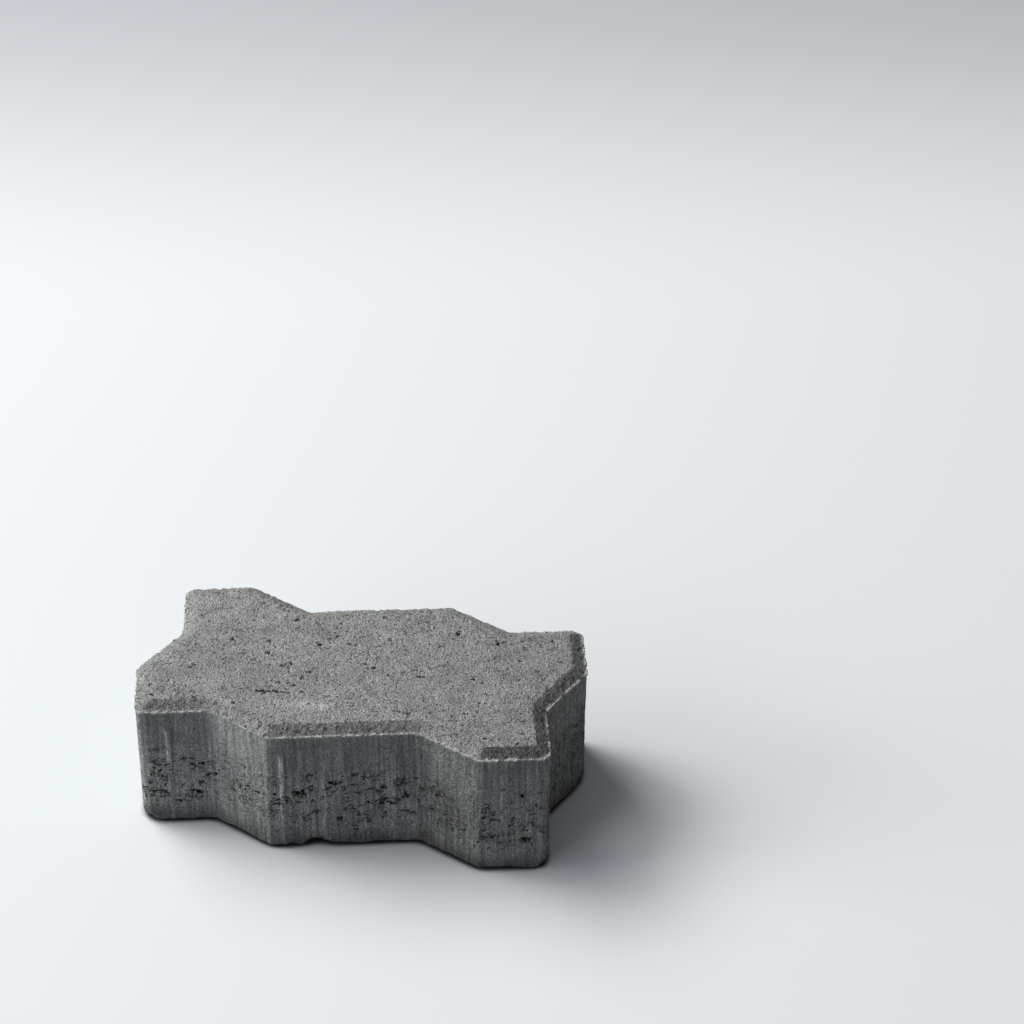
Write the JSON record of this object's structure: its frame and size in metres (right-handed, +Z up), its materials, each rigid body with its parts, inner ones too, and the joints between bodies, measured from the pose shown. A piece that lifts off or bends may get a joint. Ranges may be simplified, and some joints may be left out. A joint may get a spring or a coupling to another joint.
{
  "type": "concrete paving stone",
  "caption": "Interlocking cast concrete paver with zigzag sides, chamfered wearing face and upright spacer ribs, laid in rows on a bed to form a locked paved surface.",
  "frame": {"origin": "middle of the bed face, at the centre of the box in plan", "axes": "+X along the long side, +Y along the short side, +Z up from the bed face to the wearing face"},
  "size_m": [0.2378, 0.1256, 0.08],
  "materials": {
    "concrete": "unpolished grey cast concrete, sandy grain with pores and drag marks"
  },
  "bodies": {
    "root": {"paving_stone": "concrete"}
  },
  "joints": []
}
